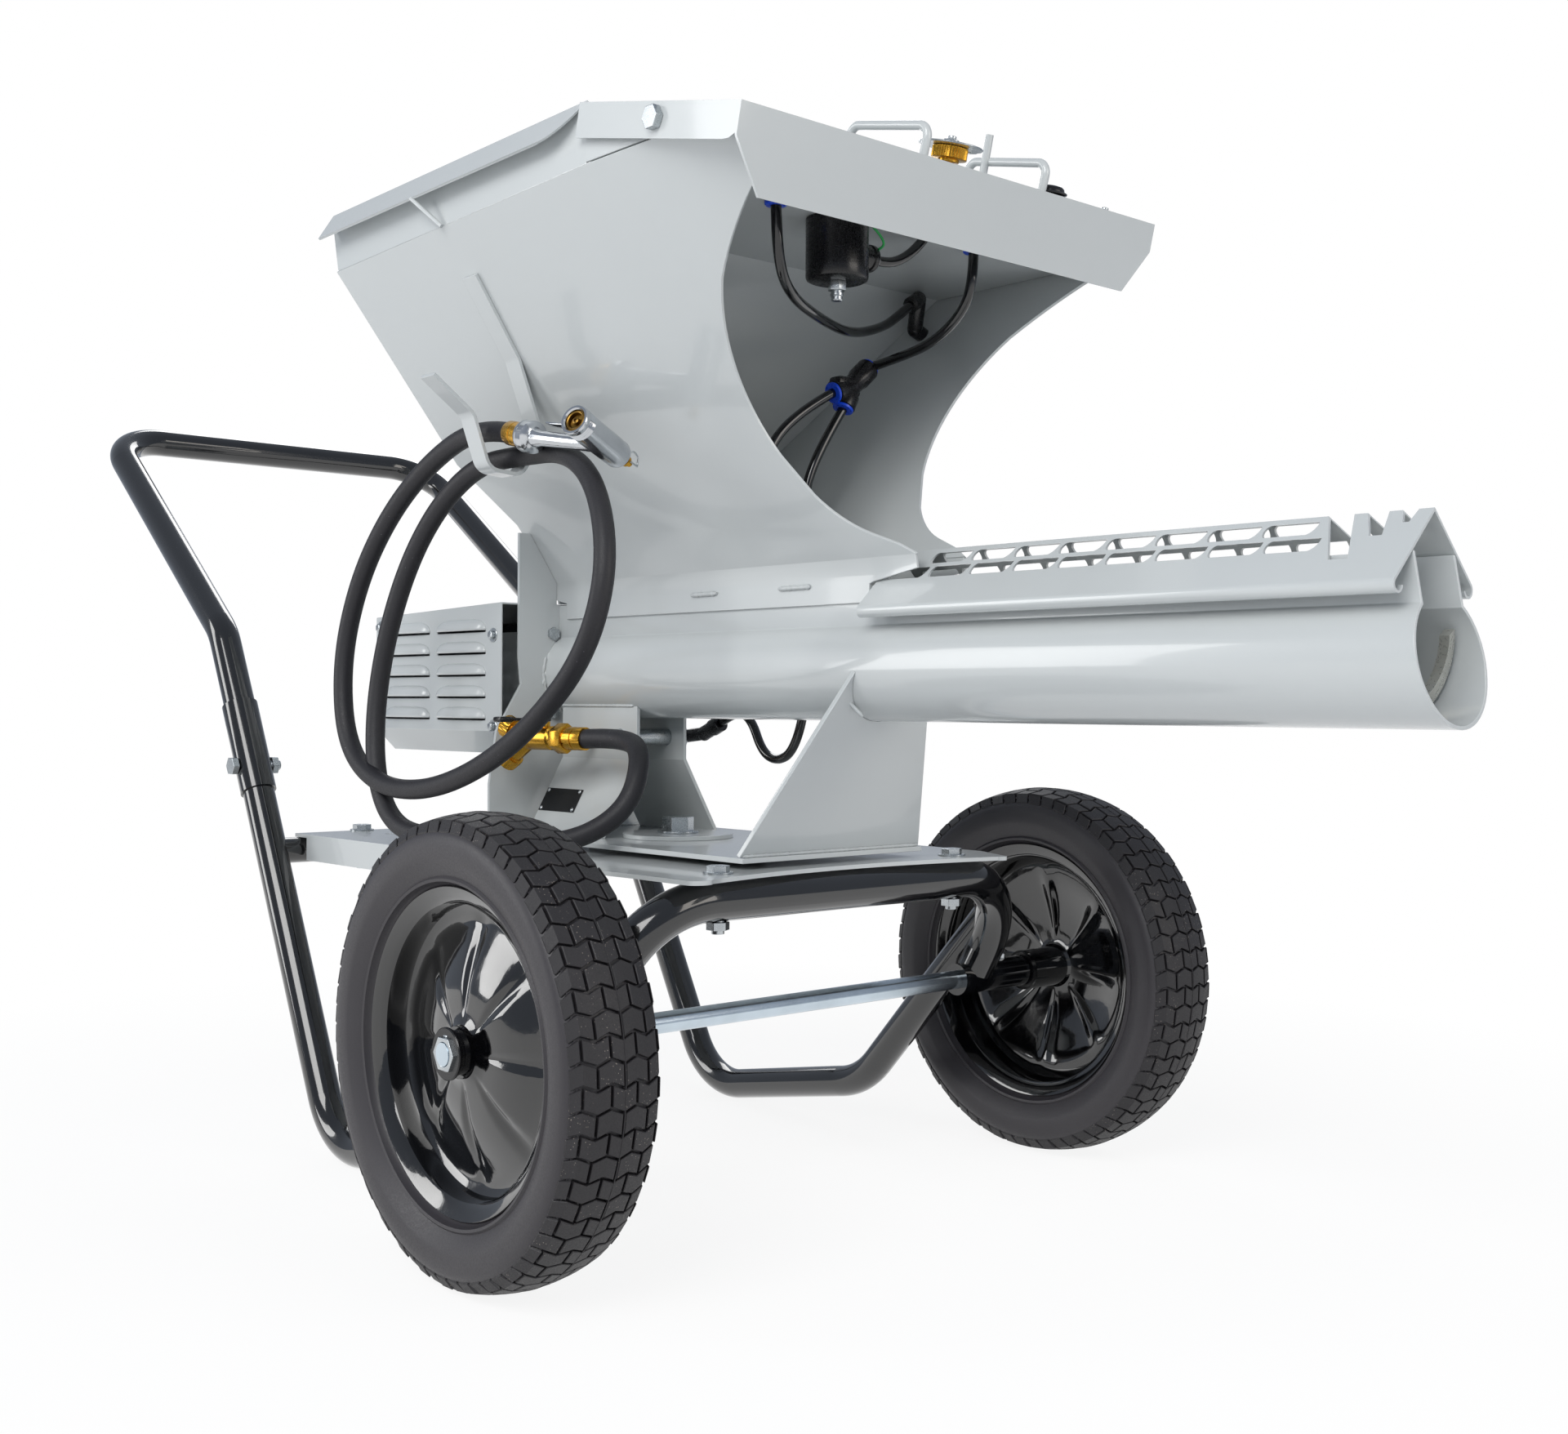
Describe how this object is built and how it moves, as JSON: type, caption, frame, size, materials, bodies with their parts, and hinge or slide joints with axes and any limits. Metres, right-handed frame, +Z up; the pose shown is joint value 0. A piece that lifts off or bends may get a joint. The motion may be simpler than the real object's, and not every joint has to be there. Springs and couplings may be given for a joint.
{
  "type": "portable mortar mixer",
  "caption": "Two-wheeled cart with a swivelling hopper and a screw trough that mixes dry mortar with water and carries it out at the end.",
  "frame": {"origin": "middle of the object's length and width, on the ground", "axes": "+X forward along the trough to the discharge mouth, +Y to the right-hand wheel, +Z up"},
  "size_m": [1.8772, 0.8238, 1.0603],
  "materials": {
    "grey_powder_coat": "smooth gloss powder coat",
    "black_gloss_paint": "gloss powder coat on bent tube",
    "black_wheel_enamel": "high-gloss stoved enamel",
    "tyre_rubber": "moulded foam rubber, turf tread",
    "hub_nylon": "moulded nylon bush",
    "zinc_plated_steel": "bright zinc plating",
    "zinc_knob": "zinc-plated disc on a knurled drum",
    "chromed_nozzle": "dull chrome on a die casting",
    "brass": "machined brass",
    "wear_plate_plastic": "bearing ring",
    "worn_auger_steel": "steel worn by mortar",
    "cast_bearing": "cast and machined",
    "motor_enamel": "satin enamel",
    "motor_core_steel": "laminated steel core on a shaft",
    "hose_rubber": "matt rubber hose",
    "black_tube": "polyurethane tube",
    "black_nylon_fitting": "moulded nylon",
    "blue_collar": "moulded release collar",
    "black_coil_plastic": "moulded coil housing",
    "switch_rubber": "moulded rubber boot",
    "lever_plastic": "vinyl-dipped lever",
    "blank_plate_aluminium": "blank dark anodised plate"
  },
  "bodies": {
    "frame": {"right_side_tube": "black_gloss_paint", "left_side_tube": "black_gloss_paint", "front_arch": "black_gloss_paint", "rear_cross_tube": "black_gloss_paint", "handle": "black_gloss_paint", "handle_bolts": "zinc_plated_steel", "deck": "grey_powder_coat", "deck_bolts": "zinc_plated_steel", "axle": "zinc_plated_steel", "axle_housings": "black_gloss_paint", "axle_nuts": "zinc_plated_steel", "swivel_bearing": "wear_plate_plastic", "pivot_disc": "grey_powder_coat", "pivot_bolt": "zinc_plated_steel"},
    "left_wheel": {"left_tyre": "tyre_rubber", "left_wheel_disc": "black_wheel_enamel", "left_hub_bush": "hub_nylon"},
    "right_wheel": {"right_tyre": "tyre_rubber", "right_wheel_disc": "black_wheel_enamel", "right_hub_bush": "hub_nylon"},
    "turret": {"turret_base": "grey_powder_coat", "trough": "grey_powder_coat", "back_plate": "grey_powder_coat", "right_bracket": "grey_powder_coat", "left_bracket": "grey_powder_coat", "front_support": "grey_powder_coat", "trough_guard": "grey_powder_coat", "left_wing": "grey_powder_coat", "right_wing": "grey_powder_coat", "left_lip": "grey_powder_coat", "right_lip": "grey_powder_coat", "rear_wall": "grey_powder_coat", "front_wall": "grey_powder_coat", "console_cover": "grey_powder_coat", "console_tray": "grey_powder_coat", "motor_guard": "grey_powder_coat", "hose_hook": "grey_powder_coat", "bails": "grey_powder_coat", "console_bolts": "zinc_plated_steel", "gearbox_bolts": "zinc_plated_steel", "water_pipe": "zinc_plated_steel", "nozzle_body": "chromed_nozzle", "ball_valve": "brass", "hose_ferrules": "brass", "flow_valve": "brass", "auger_bearing": "cast_bearing", "gearbox": "cast_bearing", "motor": "motor_enamel", "hose": "hose_rubber", "water_tubes": "black_tube", "tube_splitter": "black_nylon_fitting", "push_fittings": "blue_collar", "solenoid_valve": "black_coil_plastic", "data_plate": "blank_plate_aluminium"},
    "auger": {"auger": "worn_auger_steel"},
    "rotor": {"motor_rotor": "motor_core_steel"},
    "knob": {"flow_knob": "zinc_knob"},
    "switch": {"switch_boot": "switch_rubber"},
    "valve_lever": {"valve_lever": "lever_plastic"},
    "trigger": {"nozzle_trigger": "chromed_nozzle"}
  },
  "joints": [
    {"name": "left_wheel_spin", "type": "hinge", "parent": "frame", "child": "left_wheel", "pos_m": [0.2444, -0.3667, 0.203], "axis": [0, 1, 0], "continuous": true},
    {"name": "right_wheel_spin", "type": "hinge", "parent": "frame", "child": "right_wheel", "pos_m": [0.2444, 0.3667, 0.203], "axis": [0, 1, 0], "continuous": true},
    {"name": "turret_swivel", "type": "hinge", "parent": "frame", "child": "turret", "pos_m": [0.0394, 0, 0.35], "axis": [0, 0, 1], "range_deg": [-120, 120]},
    {"name": "auger_spin", "type": "hinge", "parent": "turret", "child": "auger", "pos_m": [0, 0, 0.5332], "axis": [1, 0, 0], "continuous": true},
    {"name": "rotor_spin", "type": "hinge", "parent": "turret", "child": "rotor", "pos_m": [-0.3156, 0, 0.5332], "axis": [1, 0, 0], "continuous": true},
    {"name": "knob_turn", "type": "hinge", "parent": "turret", "child": "knob", "pos_m": [0.4139, 0.02, 0.9939], "axis": [0.2293, 0, 0.9734], "range_deg": [0, 270]},
    {"name": "switch_press", "type": "slide", "parent": "turret", "child": "switch", "axis": [-0.2293, 0, -0.9734], "range_m": [0, 0.002], "stiffness_N_per_m": 400, "springref_m": -0.002},
    {"name": "valve_lever_turn", "type": "hinge", "parent": "turret", "child": "valve_lever", "pos_m": [-0.0653, -0.1027, 0.48], "axis": [0, 0, 1], "range_deg": [0, 90]},
    {"name": "trigger_press", "type": "hinge", "parent": "turret", "child": "trigger", "pos_m": [0.14257, -0.18587, 0.7612], "axis": [0.1679, -0.9217, 0.3496], "range_deg": [0, 3], "stiffness_Nm_per_rad": 1, "springref_deg": -5.73}
  ],
  "couplings": [
    {"joint": "rotor_spin", "follows": "auger_spin", "ratio": 12}
  ]
}
